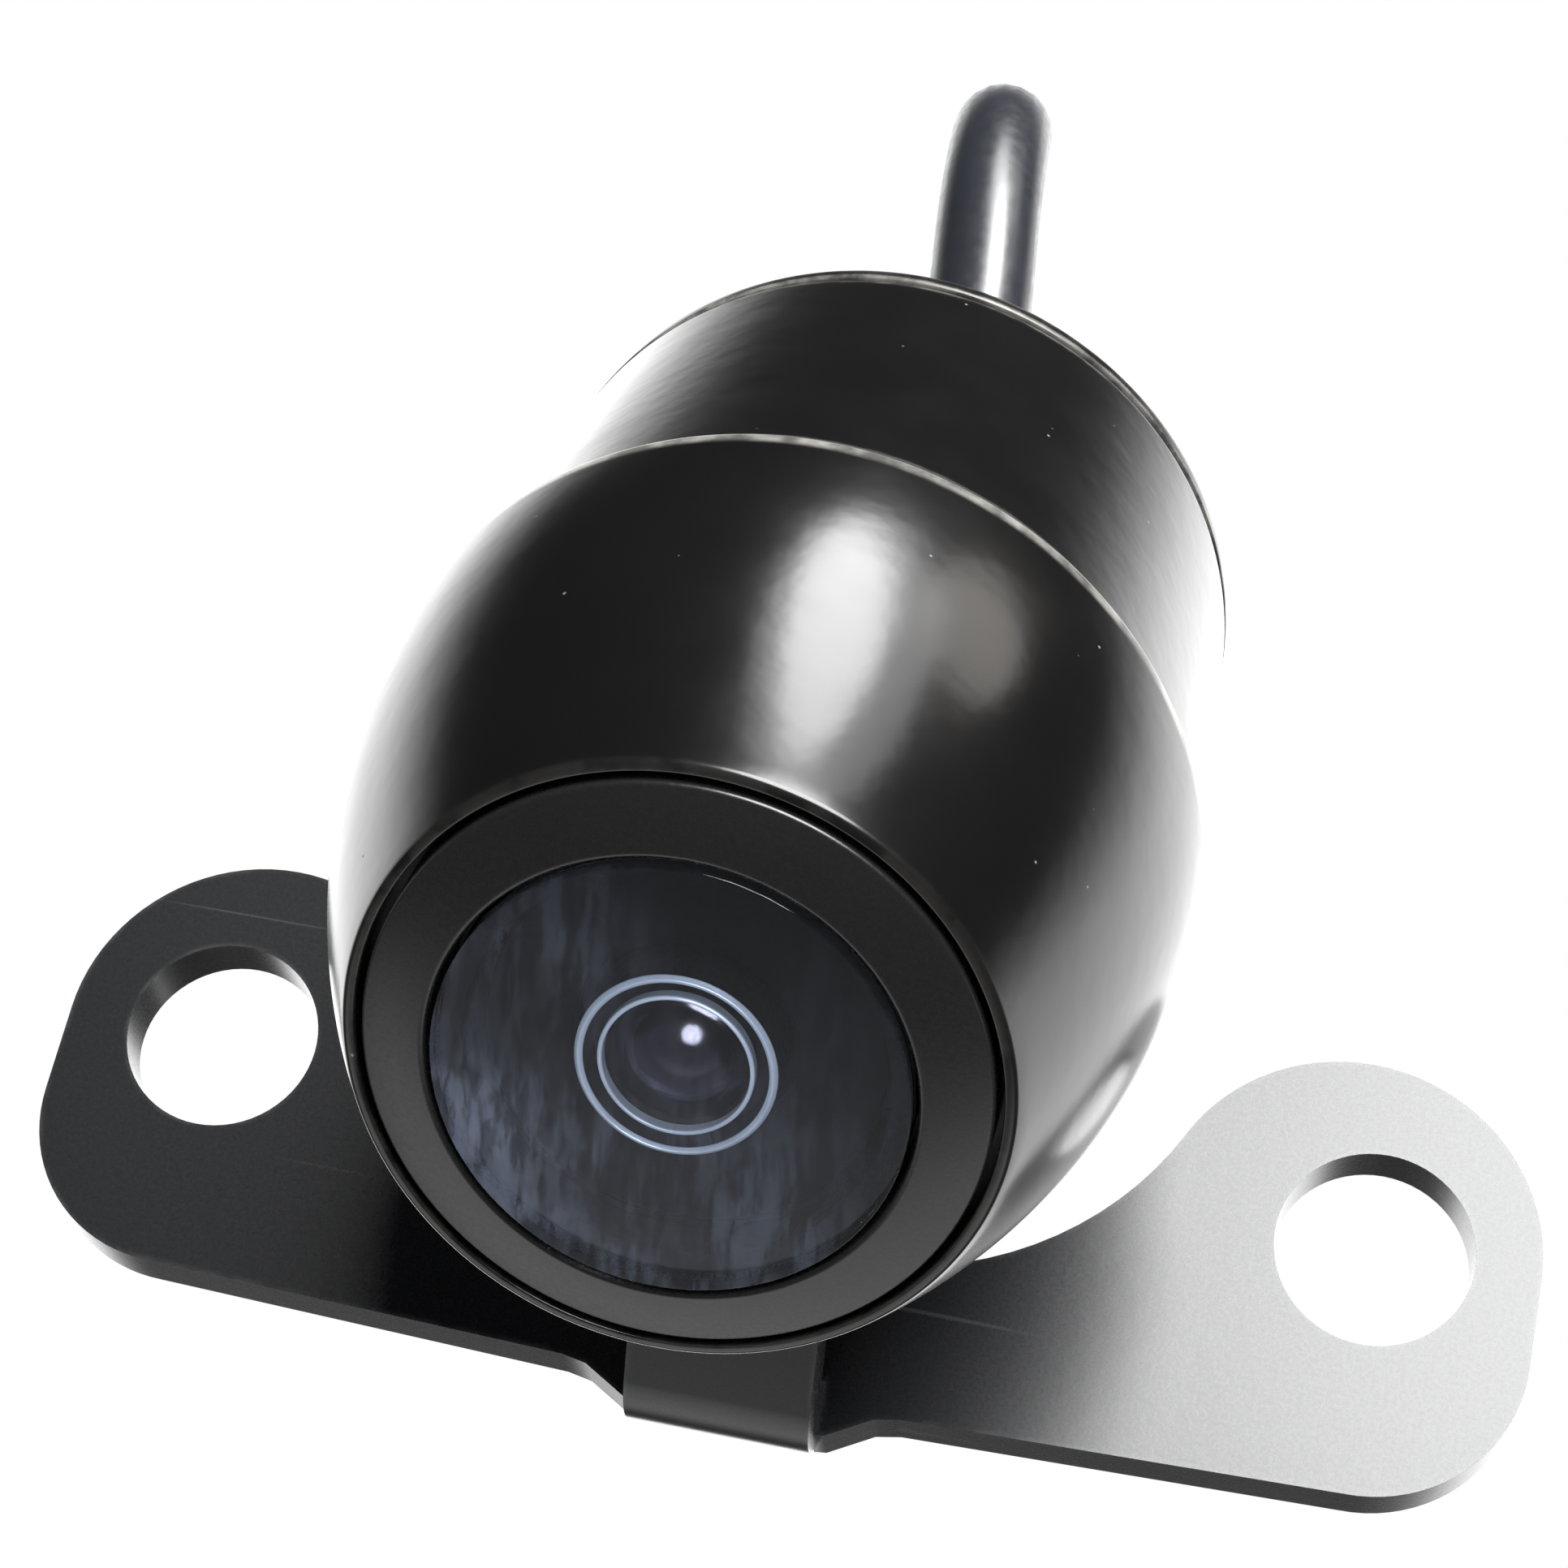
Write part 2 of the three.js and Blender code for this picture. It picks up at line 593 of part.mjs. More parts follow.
// A four-pin connector, moulded on the cable's end, pointing down.
function addConnector(x, top, z) {
  const place = (geometry) => geometry.rotateX(Math.PI / 2).translate(x, top, z);
  const gripEnd = 13;
  const body = [
    [0, 0],
    [2.4, 0],
    [2.7, 1],
    [3.2, 4.5],
    [4.2, 5.5],
    [4.2, gripEnd],
    [0, gripEnd],
  ];
  add(coil, "connector_body", place(revolve(body, 28)), rubber);
  const shellStart = gripEnd + GAP;
  const shellEnd = shellStart + 7.2;
  add(coil, "connector_shell", place(ring(3.1, 3.7, shellStart, shellEnd, 28)), blackPlastic);
  const seal = ring(3.7 + GAP, 4.3, shellStart, shellStart + 1.2, 28);
  add(coil, "connector_seal", place(seal), rubber);
  const insertEnd = shellStart + 3;
  add(coil, "connector_insert", place(pin(3.1 - GAP, shellStart, insertEnd, 28)), blackPlastic);
  for (let i = 0; i < 4; i++) {
    const angle = (Math.PI / 2) * (i + 0.5);
    const contact = pin(0.45, insertEnd + GAP, shellEnd - 0.6, 10);
    contact.translate(1.5 * Math.cos(angle), 1.5 * Math.sin(angle), 0);
    add(coil, `connector_pin_${i + 1}`, place(contact), brass);
  }
}

addShells();
addOptics();
addElectronics();
addBracket();
addPivot();
addCable();

export default root;
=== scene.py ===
# The looks of the backup camera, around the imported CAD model. Lengths named with MM are written
# in millimetres and turned into metres where they are used.
import json
import math

import bmesh
import bpy
from mathutils import Matrix, Vector


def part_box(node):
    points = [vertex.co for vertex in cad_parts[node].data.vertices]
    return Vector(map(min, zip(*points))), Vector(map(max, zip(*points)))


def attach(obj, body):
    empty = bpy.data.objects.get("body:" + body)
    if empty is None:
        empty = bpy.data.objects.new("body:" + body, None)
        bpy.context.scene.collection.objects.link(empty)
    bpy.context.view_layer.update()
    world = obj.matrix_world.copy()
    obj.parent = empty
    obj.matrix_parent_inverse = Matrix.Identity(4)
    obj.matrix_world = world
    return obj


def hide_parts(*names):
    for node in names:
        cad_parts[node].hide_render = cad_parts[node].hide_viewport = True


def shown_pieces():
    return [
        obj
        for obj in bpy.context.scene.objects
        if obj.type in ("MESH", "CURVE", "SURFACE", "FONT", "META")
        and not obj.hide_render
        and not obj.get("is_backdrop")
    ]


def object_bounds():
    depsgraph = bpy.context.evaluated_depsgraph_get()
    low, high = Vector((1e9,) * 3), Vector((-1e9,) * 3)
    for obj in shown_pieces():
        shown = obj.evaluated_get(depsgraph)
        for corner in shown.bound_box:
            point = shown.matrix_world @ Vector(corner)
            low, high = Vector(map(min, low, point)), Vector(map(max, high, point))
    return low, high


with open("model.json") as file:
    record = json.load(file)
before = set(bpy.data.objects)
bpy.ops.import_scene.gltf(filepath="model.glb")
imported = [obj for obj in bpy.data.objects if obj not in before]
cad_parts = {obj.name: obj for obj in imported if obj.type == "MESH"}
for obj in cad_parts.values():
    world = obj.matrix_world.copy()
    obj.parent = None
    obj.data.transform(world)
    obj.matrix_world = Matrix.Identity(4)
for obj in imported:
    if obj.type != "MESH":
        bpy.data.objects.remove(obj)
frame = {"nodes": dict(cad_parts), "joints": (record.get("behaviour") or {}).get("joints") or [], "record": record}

cad_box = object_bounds()
MM = 0.001
SLOT_OF = {part["node"]: part["material_slot"] for part in frame["record"]["subparts"]}
CAMERA_BODY = "camera"

# ---------- the camera's own frame, from its swivel joint ----------
# +Z runs out of the lens and -Y towards the bracket's tongue, as in the CAD.
PIVOT_BACK = 5.6  # mm from the seam back to the pivot
PIVOT_BELOW = 14  # mm from the lens axis down to the joint's point
swivel = next(joint for joint in frame["joints"] if joint["name"] == "camera_swivel")
across = Vector((1, 0, 0))
crown = -Vector(swivel["axis"]).normalized()
lens_axis = across.cross(crown)
seam_centre = Vector(swivel["pos_m"]) + PIVOT_BACK * MM * lens_axis + PIVOT_BELOW * MM * crown
camera_frame = Matrix.Translation(seam_centre) @ Matrix((across, crown, lens_axis)).transposed().to_4x4()

# The camera's sizes, in millimetres. Heights run along the lens axis from the seam.
GAP = 0.3  # between neighbours, as in the CAD
BALL_RADIUS = 12.05  # at the seam
BALL_BACK = -0.3
BALL_CURVE = 31  # radius of the dome's profile
LIP_RADIUS = 8.68
LIP_FRONT = 12.85
LEDGE = 11.2
BEZEL_RADIUS = 8.2
WINDOW_RADIUS = 6.2
WINDOW_FRONT = 13.55
WINDOW_THICKNESS = 0.5
LENS_RADIUS = 2.65
BARREL_BORE = 9.6
BARREL_END = -15.2
BARREL_END_RADIUS = 11.15
CAP_BACK = -16.4
CAP_HUB = CAP_BACK - 0.5
GLAND_END = -22.4
CABLE_RADIUS = 1.9


# ---------- the photograph's viewpoint ----------
VIEW_FROM = Vector((0.01435, -0.11384, -0.0385))  # in metres
VIEW_FORWARD = Vector((-0.1377, 0.9018, 0.4097)).normalized()
VIEW_RIGHT = Vector((0.976, 0.0533, 0.211))
FOCAL_LENGTH = 85  # mm, on a sensor as wide as SENSOR_WIDTH
SENSOR_WIDTH = 36


def add_camera():
    data = bpy.data.cameras.new("view")
    data.lens = FOCAL_LENGTH
    data.sensor_width = SENSOR_WIDTH
    data.clip_start = 0.005
    data.clip_end = 20
    view = bpy.data.objects.new("view", data)
    bpy.context.collection.objects.link(view)
    right = (VIEW_RIGHT - VIEW_FORWARD * VIEW_RIGHT.dot(VIEW_FORWARD)).normalized()
    up = right.cross(VIEW_FORWARD)
    turn = Matrix((right, up, -VIEW_FORWARD)).transposed().to_4x4()
    view.matrix_world = Matrix.Translation(VIEW_FROM) @ turn
    bpy.context.scene.camera = view


# ---------- mesh helpers ----------
def new_piece(name, mesh, material, node, place=None, also=()):
    """A visible piece that stands for a CAD node and rides on the camera's body."""
    obj = bpy.data.objects.new(name, mesh)
    bpy.context.collection.objects.link(obj)
    if place is not None:
        obj.matrix_world = place
    if material is not None:
        mesh.materials.append(material)
    bpy.context.view_layer.update()
    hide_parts(node, *also)
    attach(obj, CAMERA_BODY)
    return obj


def soften(obj, sharp=35):
    """Smooth shading that keeps flat faces flat."""
    obj.data.shade_smooth()
    obj.data.set_sharp_from_angle(angle=math.radians(sharp))
    obj.modifiers.new("normals", "WEIGHTED_NORMAL").keep_sharp = True


def rounded(profile, closed, steps=5):
    """The profile's points, with each corner that has a third number rounded to that radius."""
    points = []
    for i, (radius, height, *fillet) in enumerate(profile):
        corner = Vector((radius, height))
        if not fillet:
            points.append(corner)
            continue
        after = Vector(profile[(i + 1) % len(profile)][:2])
        before = Vector(profile[i - 1][:2])
        out = (before - corner).normalized()
        on = (after - corner).normalized()
        half = out.angle(on) / 2
        centre = corner + (out + on).normalized() * fillet[0] / math.sin(half)
        start = corner + out * fillet[0] / math.tan(half) - centre
        end = corner + on * fillet[0] / math.tan(half) - centre
        sweep = math.atan2(start.x * end.y - start.y * end.x, start.dot(end))
        for step in range(steps + 1):
            points.append(centre + Matrix.Rotation(sweep * step / steps, 2) @ start)
    return points + points[:1] if closed else points


def bulge(start, end, radius, steps):
    """Profile points on an arc that bulges to the right of the way from start to end."""
    start, end = Vector(start), Vector(end)
    chord = end - start
    inward = Vector((-chord.y, chord.x)).normalized()
    centre = (start + end) / 2 + inward * math.sqrt(radius**2 - chord.length_squared / 4)
    first, last = start - centre, end - centre
    sweep = math.atan2(first.x * last.y - first.y * last.x, first.dot(last))
    return [centre + Matrix.Rotation(sweep * i / steps, 2) @ first for i in range(steps + 1)]


ON_THE_AXIS = 1e-6  # mm: a point nearer to the axis than this is one vertex, not a ring


def revolve(name, profile, closed=True, segments=160):
    """A mesh of the profile, in mm, listed anticlockwise, turned about +Z."""
    points = rounded(profile, closed)
    if closed:
        points = points[:-1]
    bm = bmesh.new()
    rings = []
    turn = [2 * math.pi * i / segments for i in range(segments)]
    for radius, height in points:
        if radius < ON_THE_AXIS:
            rings.append([bm.verts.new((0, 0, height * MM))] * segments)
            continue
        rings.append([
            bm.verts.new((radius * MM * math.cos(a), radius * MM * math.sin(a), height * MM))
            for a in turn
        ])
    for j in range(len(rings) if closed else len(rings) - 1):
        low, high = rings[j], rings[(j + 1) % len(rings)]
        for i in range(segments):
            k = (i + 1) % segments
            corners = list(dict.fromkeys((low[i], low[k], high[k], high[i])))
            if len(corners) > 2:
                bm.faces.new(corners)
    mesh = bpy.data.meshes.new(name)
    bm.to_mesh(mesh)
    bm.free()
    return mesh


def lathe(name, profile, material, node, closed=True, segments=160, place=None):
    """A revolved piece that stands for the node, in the camera's frame unless place is given."""
    mesh = revolve(name, profile, closed, segments)
    obj = new_piece(name, mesh, material, node, camera_frame if place is None else place)
    soften(obj)
    return obj


# ---------- materials ----------
class Nodes:
    """A node tree under construction."""

    def __init__(self, tree):
        self.tree = tree

    def node(self, kind, **settings):
        made = self.tree.nodes.new(kind)
        for key, value in settings.items():
            setattr(made, key, value)
        return made

    def join(self, source, target):
        self.tree.links.new(source, target)

    def ranged(self, source, low, high, to_low, to_high):
        """Runs smoothly from to_low to to_high while the source runs from low to high."""
        made = self.node("ShaderNodeMapRange", interpolation_type="SMOOTHSTEP")
        limits = {"From Min": low, "From Max": high, "To Min": to_low, "To Max": to_high}
        for key, value in limits.items():
            made.inputs[key].default_value = value
        self.join(source, made.inputs["Value"])
        return made.outputs["Result"]

    def math(self, operation, first, second):
        made = self.node("ShaderNodeMath", operation=operation)
        for socket, value in zip(made.inputs, (first, second)):
            if isinstance(value, (int, float)):
                socket.default_value = value
            else:
                self.join(value, socket)
        return made.outputs["Value"]


class Look(Nodes):
    """A material under construction: a Principled surface fed by procedural nodes."""

    def __init__(self, name):
        self.material = bpy.data.materials.new(name)
        self.material.use_nodes = True
        super().__init__(self.material.node_tree)
        self.surface = self.tree.nodes["Principled BSDF"]
        place = self.node("ShaderNodeTexCoord")
        scale = self.node("ShaderNodeVectorMath", operation="SCALE")
        scale.inputs["Scale"].default_value = 1 / MM
        self.join(place.outputs["Object"], scale.inputs[0])
        self.place_mm = scale.outputs["Vector"]

    def set(self, **values):
        for key, value in values.items():
            self.surface.inputs[key.replace("_", " ")].default_value = value

    def noise(self, per_mm, detail=3, roughness=0.5, stretch=(1, 1, 1)):
        """Noise with this many waves in a millimetre, drawn out along the axes by stretch."""
        mapping = self.node("ShaderNodeMapping")
        mapping.inputs["Scale"].default_value = [per_mm / s for s in stretch]
        self.join(self.place_mm, mapping.inputs["Vector"])
        noise = self.node("ShaderNodeTexNoise")
        noise.inputs["Scale"].default_value = 1
        noise.inputs["Detail"].default_value = detail
        noise.inputs["Roughness"].default_value = roughness
        self.join(mapping.outputs["Vector"], noise.inputs["Vector"])
        return noise.outputs["Fac"]

    def blend(self, factor, first, second):
        """A colour between the first and the second, each a colour or a socket."""
        made = self.node("ShaderNodeMix", data_type="RGBA")
        self.join(factor, made.inputs["Factor"])
        for key, value in (("A", first), ("B", second)):
            socket = next(s for s in made.inputs if s.name == key and s.type == "RGBA")
            if isinstance(value, tuple):
                socket.default_value = (*value, 1)
            else:
                self.join(value, socket)
        return next(s for s in made.outputs if s.type == "RGBA")

    def bump(self, *layers):
        """Relief from (source, height in mm) layers."""
        normal = None
        for source, height in layers:
            made = self.node("ShaderNodeBump")
            made.inputs["Strength"].default_value = 1
            made.inputs["Distance"].default_value = height * MM
            self.join(source, made.inputs["Height"])
            if normal is not None:
                self.join(normal, made.inputs["Normal"])
            normal = made.outputs["Normal"]
        self.join(normal, self.surface.inputs["Normal"])

    def specks(self, per_mm, size):
        """1 in rare small round specks and 0 elsewhere."""
        cells = self.node("ShaderNodeTexVoronoi", feature="F1")
        cells.inputs["Scale"].default_value = per_mm
        self.join(self.place_mm, cells.inputs["Vector"])
        near = self.ranged(cells.outputs["Distance"], size * 0.5, size, 1, 0)
        chosen = self.ranged(cells.outputs["Color"], 0.62, 0.66, 0, 1)
        return self.math("MULTIPLY", near, chosen)

    def worn_edges(self, reach_mm=0.25):
        """Towards 1 on edges, within reach_mm of them, broken up by noise."""
        geometry = self.node("ShaderNodeNewGeometry")
        bevel = self.node("ShaderNodeBevel", samples=4)
        bevel.inputs["Radius"].default_value = reach_mm * MM
        turn = self.node("ShaderNodeVectorMath", operation="DOT_PRODUCT")
        self.join(bevel.outputs["Normal"], turn.inputs[0])
        self.join(geometry.outputs["Normal"], turn.inputs[1])
        edge = self.ranged(turn.outputs["Value"], 0.84, 0.995, 1, 0)
        patchy = self.ranged(self.noise(0.9, 4), 0.38, 0.58, 0.25, 1)
        return self.math("MULTIPLY", edge, patchy)


def shell_paint():
    """Gloss black paint with fine orange peel and dust, pale along the seam's edge with wear and a painted
    highlight.
    """
    look = Look("gloss_black_paint")
    haze = look.noise(0.09, 4)
    dust = look.specks(0.8, 0.05)
    along = look.node("ShaderNodeSeparateXYZ")
    look.join(look.place_mm, along.inputs["Vector"])
    behind_lip = look.ranged(along.outputs["Z"], 4, 8, 1, 0.1)
    # Pale band just in front of the seam's edge: partly wear, partly a painted highlight of the ball's rounded
    # rear rim.
    seam_front = look.ranged(along.outputs["Z"], 0.05, 0.4, 1, 0)
    seam_back = look.ranged(along.outputs["Z"], -0.6, -0.35, 0, 1)
    seam_patches = look.ranged(look.noise(0.9, 5), 0.36, 0.64, 0.2, 0.65)
    seam = look.math("MULTIPLY", look.math("MULTIPLY", seam_front, seam_back), seam_patches)
    worn = look.math("MAXIMUM", look.math("MULTIPLY", look.worn_edges(0.45), behind_lip), seam)
    colour = look.blend(haze, (0.0036, 0.0034, 0.0036), (0.0052, 0.005, 0.0049))
    # worn holds both the worn edges and the seam band, so this pale colour is wear and also a painted highlight on
    # the ball's rear rim.
    colour = look.blend(look.math("MULTIPLY", worn, 0.85), colour, (0.4, 0.39, 0.36))
    colour = look.blend(look.math("MULTIPLY", dust, 0.4), colour, (0.4, 0.4, 0.37))
    look.join(colour, look.surface.inputs["Base Color"])
    uneven = look.ranged(look.noise(0.35, 5), 0.3, 0.7, 0.18, 0.21)
    rough = look.math("ADD", uneven, look.math("MULTIPLY", dust, 0.4))
    look.join(rough, look.surface.inputs["Roughness"])
    waves = (look.noise(0.5, 2), 0.012)
    orange_peel = (look.noise(1.2, 2), 0.005)
    fine = (look.noise(5, 2), 0.0006)
    look.bump(waves, orange_peel, fine, (dust, 0.005))
    look.set(IOR=1.5)
    return look.material


def bracket_powder():
    """Black powder coat with fine grain, a few pits and long faint scratches."""
    look = Look("black_powder_coat")
    grain = look.noise(7, 4, 0.65)
    pits = look.specks(0.2, 0.07)
    scratch = look.ranged(look.noise(0.55, 2, 0.5, (14, 1, 0.25)), 0.7, 0.74, 0, 1)
    worn = look.worn_edges(0.3)
    colour = look.blend(look.noise(0.12, 4), (0.005, 0.0055, 0.007), (0.008, 0.0085, 0.01))
    colour = look.blend(look.math("MULTIPLY", worn, 0.3), colour, (0.1, 0.105, 0.115))
    colour = look.blend(look.math("MULTIPLY", scratch, 0.3), colour, (0.08, 0.085, 0.095))
    look.join(colour, look.surface.inputs["Base Color"])
    look.join(look.ranged(grain, 0.3, 0.7, 0.26, 0.29), look.surface.inputs["Roughness"])
    look.bump((grain, 0.001), (look.noise(1.4, 2), 0.0018), (pits, -0.03))
    look.set(IOR=1.55)
    return look.material


def matte(name, colour, roughness, grain_per_mm=6.0, grain_mm=0.004, spread=0.25, **values):
    """A moulded or matte finish: fine grain, a cloudy colour and an uneven gloss."""
    look = Look(name)
    dark = tuple(c * (1 - spread) for c in colour)
    light = tuple(c * (1 + spread) for c in colour)
    worn = look.math("MULTIPLY", look.worn_edges(), 0.3)
    clouded = look.blend(look.noise(0.25, 4), dark, light)
    edge = tuple(min(1, 2.2 * c + 0.01) for c in colour)
    look.join(look.blend(worn, clouded, edge), look.surface.inputs["Base Color"])
    grain = look.noise(grain_per_mm, 3)
    rough = look.ranged(grain, 0.3, 0.7, roughness * 0.88, min(1, roughness * 1.12))
    look.join(rough, look.surface.inputs["Roughness"])
    look.bump((grain, grain_mm))
    look.set(**values)
    return look.material


def metal(name, colour, roughness, brushed=(1, 1, 1)):
    """Bare metal with machining marks drawn out along an axis."""
    look = Look(name)
    marks = look.noise(5, 3, 0.6, brushed)
    dull = look.noise(0.4, 4)
    tarnished = tuple(c * 0.72 for c in colour)
    look.join(look.blend(dull, colour, tarnished), look.surface.inputs["Base Color"])
    rough = look.ranged(marks, 0.3, 0.7, roughness * 0.7, roughness * 1.3)
    look.join(rough, look.surface.inputs["Roughness"])
    look.bump((marks, 0.0015))
    look.set(Metallic=1)
    return look.material


def film_glass(name, tint, ior, gloss_roughness, smudge_and_reflection, smudge_and_reflection_colour):
    """Thin coated glass: what is behind shows through the tint, and it mirrors at a glance.
    The fifth argument is how much light the wiping marks scatter, at most. They gather towards -X and -Y, and this
    gathering is a painted reflection that makes that side lighter and bluer."""
    look = Look(name)
    through = look.node("ShaderNodeBsdfTransparent")
    through.inputs["Color"].default_value = (*tint, 1)
    # The colour of this scattering stands for the wiping marks and for the painted reflection alike.
    haze = look.node("ShaderNodeBsdfDiffuse")
    haze.inputs["Color"].default_value = (*smudge_and_reflection_colour, 1)
    mirror = look.node("ShaderNodeBsdfGlossy")
    mirror.inputs["Roughness"].default_value = gloss_roughness
    fresnel = look.node("ShaderNodeFresnel")
    fresnel.inputs["IOR"].default_value = ior
    streaks = look.noise(2.4, 4, 0.6, (1, 5, 1))
    # Towards -X and -Y the marks grow stronger. The wiping marks are real, but their gathering on that side is a
    # painted reflection, lighter and bluer.
    corner = look.node("ShaderNodeVectorMath", operation="DOT_PRODUCT")
    look.join(look.place_mm, corner.inputs[0])
    corner.inputs[1].default_value = (-0.7, -0.7, 0)
    side = look.ranged(corner.outputs["Value"], -4, 6, 0.05, 1)
    patches = look.math("MULTIPLY", look.ranged(look.noise(0.2, 3), 0.35, 0.65, 0.2, 1), side)
    marks = look.math("MULTIPLY", look.ranged(streaks, 0.42, 0.62, 0.2 * smudge_and_reflection, smudge_and_reflection), patches)
    inner = look.node("ShaderNodeMixShader")
    look.join(marks, inner.inputs["Fac"])
    look.join(through.outputs["BSDF"], inner.inputs[1])
    look.join(haze.outputs["BSDF"], inner.inputs[2])
    outer = look.node("ShaderNodeMixShader")
    look.join(fresnel.outputs["Fac"], outer.inputs["Fac"])
    look.join(inner.outputs["Shader"], outer.inputs[1])
    look.join(mirror.outputs["BSDF"], outer.inputs[2])
    output = look.tree.nodes["Material Output"]
    look.join(outer.outputs["Shader"], output.inputs["Surface"])
    look.tree.nodes.remove(look.surface)
    return look.material


LOOKS = {
    "shell_paint": shell_paint(),
    "bracket_powder": bracket_powder(),
    "bezel_plastic": matte("dark_grey_bezel", (0.011, 0.011, 0.0115), 0.27, 7, 0.002, 0.15, IOR=1.55),
    # The window's blue marks, gathered to one side, are partly a painted reflection.
    "window_glass": film_glass("window_glass", (0.85, 0.87, 0.92), 1.42, 0.05, 0.28, (0.28, 0.33, 0.46)),
    "lens_glass": film_glass("lens_glass", (0.3, 0.28, 0.34), 1.8, 0.14, 0.01, (0.1, 0.08, 0.14)),
    "lens_metal": matte("pale_lens_metal", (0.68, 0.8, 0.84), 0.35, 5, 0.001, 0.1, Metallic=0.3),
    "filter_glass": film_glass("filter_glass", (0.4, 0.75, 0.8), 1.5, 0.03, 0.02, (0.1, 0.2, 0.2)),
    "black_plastic": matte("black_plastic", (0.005, 0.005, 0.0055), 0.55),
    "white_plastic": matte("white_plastic", (0.66, 0.64, 0.56), 0.5, spread=0.06),
    "chip_epoxy": matte("chip_epoxy", (0.016, 0.016, 0.018), 0.5),
    "circuit_board": matte("circuit_board", (0.006, 0.075, 0.03), 0.35, 3, 0.01),
    "black_rubber": matte("black_rubber", (0.01, 0.01, 0.011), 0.72, 5, 0.008),
    "connector_rubber": matte("connector_rubber", (0.012, 0.012, 0.0125), 0.5, 5, 0.006),
    "bright_steel": metal("bright_steel", (0.62, 0.62, 0.64), 0.28),
    "brass": metal("brass", (0.66, 0.48, 0.2), 0.26),
    "cable_jacket": matte("cable_jacket", (0.009, 0.01, 0.0125), 0.32, 2.2, 0.004, IOR=1.45),
    "red_wire": matte("red_wire", (0.45, 0.02, 0.02), 0.4),
    "black_wire": matte("black_wire", (0.012, 0.012, 0.012), 0.4),
    "yellow_wire": matte("yellow_wire", (0.6, 0.42, 0.03), 0.4),
    "white_wire": matte("white_wire", (0.7, 0.7, 0.67), 0.4, spread=0.06),
}


# ---------- cable ----------
# The route is the CAD's, in millimetres in the row frame, and so are the coil's sizes.
CABLE_ROUTE = [
    (0.05, -3.8, 23.2),
    (0.05, -2.3, 25.3),
    (0.05, -1.1, 27.6),
    (0.05, -0.4, 30),
    (-0.05, -0.1, 32.6),
    (-0.35, 0.1, 35.3),
    (-0.7, 0.6, 38.4),
    (-1, 2.2, 41.9),
    (-1.35, 5, 44.6),
    (-1.75, 8.6, 46.1),
    (-2.1, 12.8, 46.5),
    (-2.25, 17.5, 46),
    (-2.3, 22.5, 44.7),
    (-2.2, 27.5, 42.9),
    (-1.8, 32.5, 40.7),
]
COIL_RADIUS = 19
COIL_PITCH = 3.9
COIL_ENTRY = math.radians(60)
COIL_WOUND = math.radians(1020)
COIL_HALF = COIL_PITCH * COIL_WOUND / (4 * math.pi)
TAIL_RADIUS = 8.5
CONNECTOR_DROP = 2.7  # mm from the end of the tail's bend down into the connector's back
coil_low, coil_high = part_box("cable_coil")
coil_centre = (coil_low + coil_high) / 2
# The coil's own frame: +Z along its axis, towards the row's +X, and +Y up.
coil_frame = Matrix.Translation(coil_centre) @ Matrix((
    (0, 0, 1),
    (1, 0, 0),
    (0, 1, 0),
)).to_4x4()


def cable_points():
    """Points along the whole cable in the row frame, in metres: lead, coil and tail."""
    exit_point = camera_frame @ Vector((0, 0, GLAND_END * MM))
    points = [exit_point] + [Vector(point) * MM for point in CABLE_ROUTE]
    per_turn = 24
    steps = round(per_turn * COIL_WOUND / (2 * math.pi))
    for i in range(steps + 1):
        angle = COIL_ENTRY - COIL_WOUND * i / steps
        along = COIL_HALF * (1 - 2 * i / steps)
        local = Vector((COIL_RADIUS * math.cos(angle), COIL_RADIUS * math.sin(angle), along))
        points.append(coil_frame @ (local * MM))
    leave = COIL_ENTRY - COIL_WOUND
    bend = leave % (2 * math.pi)
    reach = COIL_RADIUS - TAIL_RADIUS
    bend_steps = 6
    for i in range(1, bend_steps + 1):
        angle = bend * (1 - i / bend_steps)
        local = Vector((
            reach * math.cos(leave) + TAIL_RADIUS * math.cos(angle),
            reach * math.sin(leave) + TAIL_RADIUS * math.sin(angle),
            max(0, i - bend_steps / 2) - COIL_HALF,
        ))
        points.append(coil_frame @ (local * MM))
    points.append(points[-1] + Vector((0, 0, -CONNECTOR_DROP * MM)))
    return points


def add_cable():
    points = cable_points()
    data = bpy.data.curves.new("cable", "CURVE")
    data.dimensions = "3D"
    data.bevel_depth = CABLE_RADIUS * MM
    data.bevel_resolution = 8
    data.use_fill_caps = True
    spline = data.splines.new("NURBS")
    spline.points.add(len(points) - 1)
    for target, point in zip(spline.points, points):
        target.co = (*point, 1)
    spline.order_u = 4
    spline.use_endpoint_u = True
    spline.resolution_u = 5
    cable = bpy.data.objects.new("camera_cable", data)
    bpy.context.collection.objects.link(cable)
    data.materials.append(LOOKS["cable_jacket"])
    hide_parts("cable", "cable_coil", "cable_tail")
    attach(cable, CAMERA_BODY)
    return cable


TIE_THICKNESS = 0.8
TIE_WIDTH = 3
TIE_CORNER = 1.9  # inner radius of the strap's bends
TIE_INNER = COIL_RADIUS - CABLE_RADIUS - GAP
TIE_OUTER = COIL_RADIUS + CABLE_RADIUS + GAP
TIE_HALF = COIL_HALF + CABLE_RADIUS + GAP


